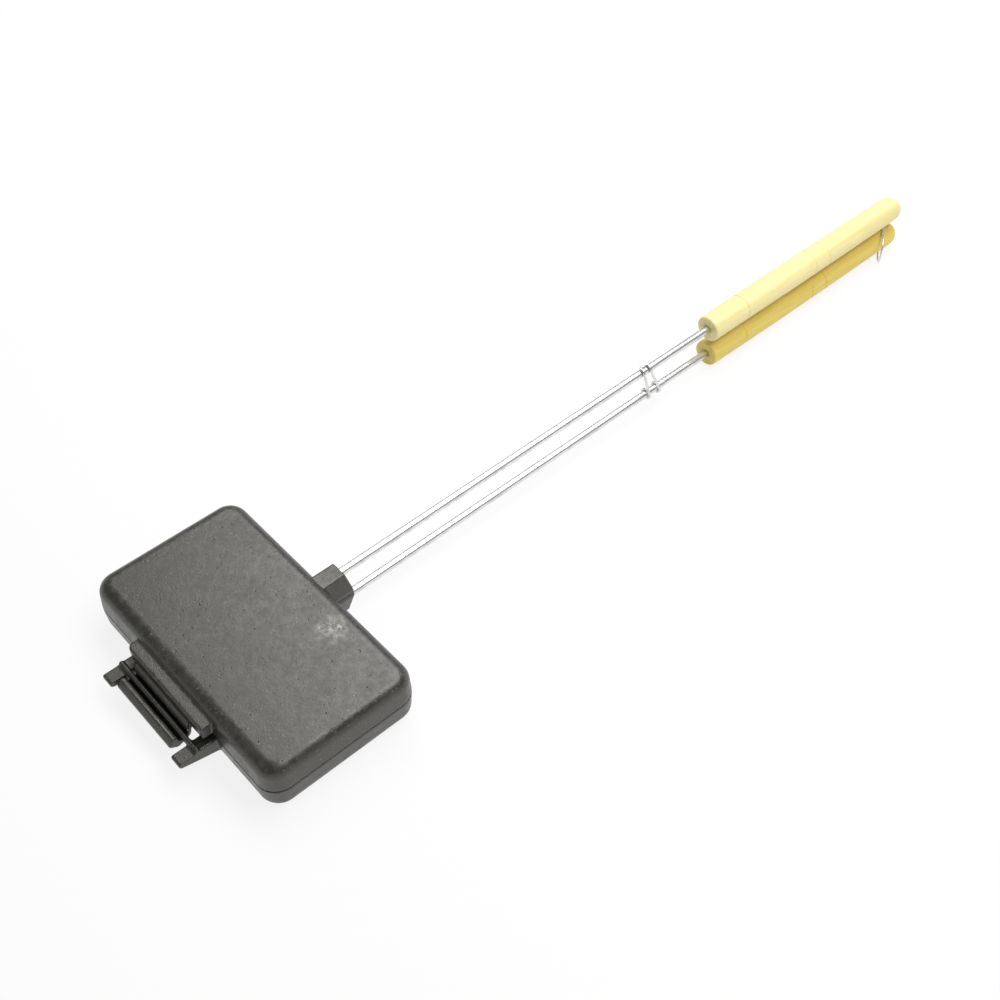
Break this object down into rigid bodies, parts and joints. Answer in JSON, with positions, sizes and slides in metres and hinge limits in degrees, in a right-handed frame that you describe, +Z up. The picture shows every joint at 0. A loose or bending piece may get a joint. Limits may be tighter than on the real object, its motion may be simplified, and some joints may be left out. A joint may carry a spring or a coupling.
{
  "type": "sandwich iron",
  "caption": "Long-handled sandwich iron: hinged cast pans on steel rods, turned wooden handles, a wire latch bail and a hanging loop.",
  "frame": {"origin": "middle of the lower pan's flat bottom face, on the table", "axes": "+X from the pans to the handles, +Y to the left across the pans, +Z up from the table"},
  "size_m": [0.748, 0.2, 0.0495],
  "materials": {
    "cast_iron_lower": "matt, as cast, slightly pitted",
    "cast_iron_upper": "matt, as cast, slightly pitted",
    "plated_rod": "bright plated",
    "turned_wood": "turned, waxed, pale",
    "plated_wire": "drawn wire, plated"
  },
  "bodies": {
    "lower_half": {"lower_pan": "cast_iron_lower", "lower_rod": "plated_rod", "lower_handle": "turned_wood"},
    "upper_half": {"upper_pan": "cast_iron_upper", "upper_rod": "plated_rod", "upper_handle": "turned_wood"},
    "latch": {"latch_bail": "plated_wire"},
    "loop": {"hanging_loop": "plated_wire"}
  },
  "joints": [
    {"name": "pan_hinge", "type": "hinge", "parent": "lower_half", "child": "upper_half", "pos_m": [-0.0703, 0, 0.0182], "axis": [0, -1, 0], "range_deg": [0, 108]},
    {"name": "latch_swing", "type": "hinge", "parent": "lower_half", "child": "latch", "pos_m": [0.3675, 0, 0.01077], "axis": [1, 0, 0.0079], "range_deg": [0, 100]},
    {"name": "loop_swing", "type": "hinge", "parent": "lower_half", "child": "loop", "pos_m": [0.65, 0, 0.01299], "axis": [-0.0079, 0, 1], "range_deg": [0, 284]}
  ]
}
